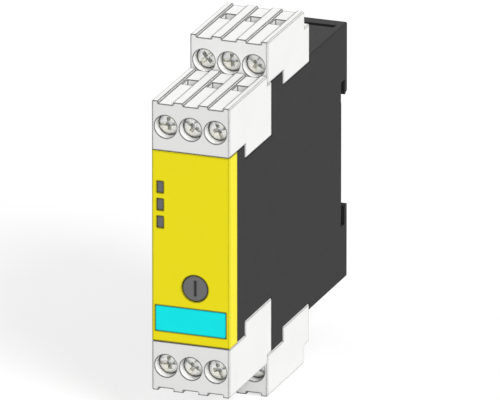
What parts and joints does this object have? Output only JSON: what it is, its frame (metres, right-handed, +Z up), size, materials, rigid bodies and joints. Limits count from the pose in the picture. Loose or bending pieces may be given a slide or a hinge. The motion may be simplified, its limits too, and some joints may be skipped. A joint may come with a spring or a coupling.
{
  "type": "safety relay",
  "caption": "Narrow rail-mounted safety relay with a yellow front cover, indicators, a delay adjuster and stepped tiers of screw terminals above and below.",
  "frame": {"origin": "middle of the rail seat, the flat between the two hooks at the back", "axes": "+X across the module to the right, +Y from the front to the rail, +Z up"},
  "size_m": [0.0226, 0.0933, 0.102],
  "materials": {
    "black_housing": "finely grained moulded polyamide",
    "yellow_cover": "smooth moulded polycarbonate, signal yellow",
    "cyan_label": "smooth snap-in writing plate",
    "smoked_lens": "polished smoked acrylic, unlit",
    "led_epoxy": "clear epoxy over a white reflector",
    "trimmer_case": "moulded blue case",
    "grey_knob": "moulded dark grey polyamide",
    "grey_terminal": "light grey glass-filled polyamide",
    "zinc_screw": "bright zinc plate",
    "clamp_steel": "zinc plated folded steel",
    "plated_brass": "tin plated brass",
    "spring_steel": "blank spring steel",
    "circuit_board": "glass-epoxy board with green solder mask",
    "relay_case": "sealed white relay case",
    "chip_epoxy": "moulded black epoxy",
    "capacitor_sleeve": "shrunk plastic sleeve",
    "ferrite": "sintered ferrite",
    "winding_tape": "yellow polyester tape over the coil",
    "film_capacitor_case": "grey box filled with resin"
  },
  "bodies": {
    "root": {"housing_shell": "black_housing", "front_cover": "yellow_cover", "label_plate": "cyan_label", "indicator_lens_1": "smoked_lens", "indicator_lens_2": "smoked_lens", "indicator_lens_3": "smoked_lens", "indicator_leds": "led_epoxy", "trimmer_body": "trimmer_case", "front_board": "circuit_board", "logic_board": "circuit_board", "relay_board": "circuit_board", "upper_terminal_board": "circuit_board", "lower_terminal_board": "circuit_board", "relay_a": "relay_case", "relay_b": "relay_case", "processor_a": "chip_epoxy", "processor_b": "chip_epoxy", "supply_capacitor": "capacitor_sleeve", "transformer_core": "ferrite", "transformer_winding": "winding_tape", "filter_capacitor": "film_capacitor_case", "rail_spring": "spring_steel", "block_upper_front": "grey_terminal", "bars_upper_front": "plated_brass", "block_upper_rear": "grey_terminal", "bars_upper_rear": "plated_brass", "block_lower_front": "grey_terminal", "bars_lower_front": "plated_brass", "block_lower_rear": "grey_terminal", "bars_lower_rear": "plated_brass"},
    "delay_knob": {"delay_knob": "grey_knob"},
    "screw_upper_front_1": {"screw_upper_front_1": "zinc_screw"},
    "clamp_upper_front_1": {"clamp_upper_front_1": "clamp_steel"},
    "screw_upper_front_2": {"screw_upper_front_2": "zinc_screw"},
    "clamp_upper_front_2": {"clamp_upper_front_2": "clamp_steel"},
    "screw_upper_front_3": {"screw_upper_front_3": "zinc_screw"},
    "clamp_upper_front_3": {"clamp_upper_front_3": "clamp_steel"},
    "screw_upper_rear_1": {"screw_upper_rear_1": "zinc_screw"},
    "clamp_upper_rear_1": {"clamp_upper_rear_1": "clamp_steel"},
    "screw_upper_rear_2": {"screw_upper_rear_2": "zinc_screw"},
    "clamp_upper_rear_2": {"clamp_upper_rear_2": "clamp_steel"},
    "screw_upper_rear_3": {"screw_upper_rear_3": "zinc_screw"},
    "clamp_upper_rear_3": {"clamp_upper_rear_3": "clamp_steel"},
    "screw_lower_front_1": {"screw_lower_front_1": "zinc_screw"},
    "clamp_lower_front_1": {"clamp_lower_front_1": "clamp_steel"},
    "screw_lower_front_2": {"screw_lower_front_2": "zinc_screw"},
    "clamp_lower_front_2": {"clamp_lower_front_2": "clamp_steel"},
    "screw_lower_front_3": {"screw_lower_front_3": "zinc_screw"},
    "clamp_lower_front_3": {"clamp_lower_front_3": "clamp_steel"},
    "screw_lower_rear_1": {"screw_lower_rear_1": "zinc_screw"},
    "clamp_lower_rear_1": {"clamp_lower_rear_1": "clamp_steel"},
    "screw_lower_rear_2": {"screw_lower_rear_2": "zinc_screw"},
    "clamp_lower_rear_2": {"clamp_lower_rear_2": "clamp_steel"},
    "screw_lower_rear_3": {"screw_lower_rear_3": "zinc_screw"},
    "clamp_lower_rear_3": {"clamp_lower_rear_3": "clamp_steel"}
  },
  "joints": [
    {"name": "screw_upper_front_1_turn", "type": "hinge", "parent": "root", "child": "screw_upper_front_1", "pos_m": [-0.0072, -0.08565, 0.0343], "axis": [0, 1, 0], "range_deg": [0, 2160]},
    {"name": "clamp_upper_front_1_travel", "type": "slide", "parent": "root", "child": "clamp_upper_front_1", "axis": [0, -1, 0], "range_m": [0, 0.0036]},
    {"name": "screw_upper_front_2_turn", "type": "hinge", "parent": "root", "child": "screw_upper_front_2", "pos_m": [0, -0.08565, 0.0343], "axis": [0, 1, 0], "range_deg": [0, 2160]},
    {"name": "clamp_upper_front_2_travel", "type": "slide", "parent": "root", "child": "clamp_upper_front_2", "axis": [0, -1, 0], "range_m": [0, 0.0036]},
    {"name": "screw_upper_front_3_turn", "type": "hinge", "parent": "root", "child": "screw_upper_front_3", "pos_m": [0.0072, -0.08565, 0.0343], "axis": [0, 1, 0], "range_deg": [0, 2160]},
    {"name": "clamp_upper_front_3_travel", "type": "slide", "parent": "root", "child": "clamp_upper_front_3", "axis": [0, -1, 0], "range_m": [0, 0.0036]},
    {"name": "screw_upper_rear_1_turn", "type": "hinge", "parent": "root", "child": "screw_upper_rear_1", "pos_m": [-0.0072, -0.0558, 0.0438], "axis": [0, 1, 0], "range_deg": [0, 2160]},
    {"name": "clamp_upper_rear_1_travel", "type": "slide", "parent": "root", "child": "clamp_upper_rear_1", "axis": [0, -1, 0], "range_m": [0, 0.0036]},
    {"name": "screw_upper_rear_2_turn", "type": "hinge", "parent": "root", "child": "screw_upper_rear_2", "pos_m": [0, -0.0558, 0.0438], "axis": [0, 1, 0], "range_deg": [0, 2160]},
    {"name": "clamp_upper_rear_2_travel", "type": "slide", "parent": "root", "child": "clamp_upper_rear_2", "axis": [0, -1, 0], "range_m": [0, 0.0036]},
    {"name": "screw_upper_rear_3_turn", "type": "hinge", "parent": "root", "child": "screw_upper_rear_3", "pos_m": [0.0072, -0.0558, 0.0438], "axis": [0, 1, 0], "range_deg": [0, 2160]},
    {"name": "clamp_upper_rear_3_travel", "type": "slide", "parent": "root", "child": "clamp_upper_rear_3", "axis": [0, -1, 0], "range_m": [0, 0.0036]},
    {"name": "screw_lower_front_1_turn", "type": "hinge", "parent": "root", "child": "screw_lower_front_1", "pos_m": [-0.0072, -0.08565, -0.0343], "axis": [0, 1, 0], "range_deg": [0, 2160]},
    {"name": "clamp_lower_front_1_travel", "type": "slide", "parent": "root", "child": "clamp_lower_front_1", "axis": [0, -1, 0], "range_m": [0, 0.0036]},
    {"name": "screw_lower_front_2_turn", "type": "hinge", "parent": "root", "child": "screw_lower_front_2", "pos_m": [0, -0.08565, -0.0343], "axis": [0, 1, 0], "range_deg": [0, 2160]},
    {"name": "clamp_lower_front_2_travel", "type": "slide", "parent": "root", "child": "clamp_lower_front_2", "axis": [0, -1, 0], "range_m": [0, 0.0036]},
    {"name": "screw_lower_front_3_turn", "type": "hinge", "parent": "root", "child": "screw_lower_front_3", "pos_m": [0.0072, -0.08565, -0.0343], "axis": [0, 1, 0], "range_deg": [0, 2160]},
    {"name": "clamp_lower_front_3_travel", "type": "slide", "parent": "root", "child": "clamp_lower_front_3", "axis": [0, -1, 0], "range_m": [0, 0.0036]},
    {"name": "screw_lower_rear_1_turn", "type": "hinge", "parent": "root", "child": "screw_lower_rear_1", "pos_m": [-0.0072, -0.0558, -0.0438], "axis": [0, 1, 0], "range_deg": [0, 2160]},
    {"name": "clamp_lower_rear_1_travel", "type": "slide", "parent": "root", "child": "clamp_lower_rear_1", "axis": [0, -1, 0], "range_m": [0, 0.0036]},
    {"name": "screw_lower_rear_2_turn", "type": "hinge", "parent": "root", "child": "screw_lower_rear_2", "pos_m": [0, -0.0558, -0.0438], "axis": [0, 1, 0], "range_deg": [0, 2160]},
    {"name": "clamp_lower_rear_2_travel", "type": "slide", "parent": "root", "child": "clamp_lower_rear_2", "axis": [0, -1, 0], "range_m": [0, 0.0036]},
    {"name": "screw_lower_rear_3_turn", "type": "hinge", "parent": "root", "child": "screw_lower_rear_3", "pos_m": [0.0072, -0.0558, -0.0438], "axis": [0, 1, 0], "range_deg": [0, 2160]},
    {"name": "clamp_lower_rear_3_travel", "type": "slide", "parent": "root", "child": "clamp_lower_rear_3", "axis": [0, -1, 0], "range_m": [0, 0.0036]},
    {"name": "delay_knob_turn", "type": "hinge", "parent": "root", "child": "delay_knob", "pos_m": [0.00125, -0.0883, -0.0111], "axis": [0, 1, 0], "range_deg": [-135, 135]}
  ],
  "couplings": [
    {"joint": "screw_upper_front_1_turn", "follows": "clamp_upper_front_1_travel", "rad_per_m": 10472},
    {"joint": "screw_upper_front_2_turn", "follows": "clamp_upper_front_2_travel", "rad_per_m": 10472},
    {"joint": "screw_upper_front_3_turn", "follows": "clamp_upper_front_3_travel", "rad_per_m": 10472},
    {"joint": "screw_upper_rear_1_turn", "follows": "clamp_upper_rear_1_travel", "rad_per_m": 10472},
    {"joint": "screw_upper_rear_2_turn", "follows": "clamp_upper_rear_2_travel", "rad_per_m": 10472},
    {"joint": "screw_upper_rear_3_turn", "follows": "clamp_upper_rear_3_travel", "rad_per_m": 10472},
    {"joint": "screw_lower_front_1_turn", "follows": "clamp_lower_front_1_travel", "rad_per_m": 10472},
    {"joint": "screw_lower_front_2_turn", "follows": "clamp_lower_front_2_travel", "rad_per_m": 10472},
    {"joint": "screw_lower_front_3_turn", "follows": "clamp_lower_front_3_travel", "rad_per_m": 10472},
    {"joint": "screw_lower_rear_1_turn", "follows": "clamp_lower_rear_1_travel", "rad_per_m": 10472},
    {"joint": "screw_lower_rear_2_turn", "follows": "clamp_lower_rear_2_travel", "rad_per_m": 10472},
    {"joint": "screw_lower_rear_3_turn", "follows": "clamp_lower_rear_3_travel", "rad_per_m": 10472}
  ]
}
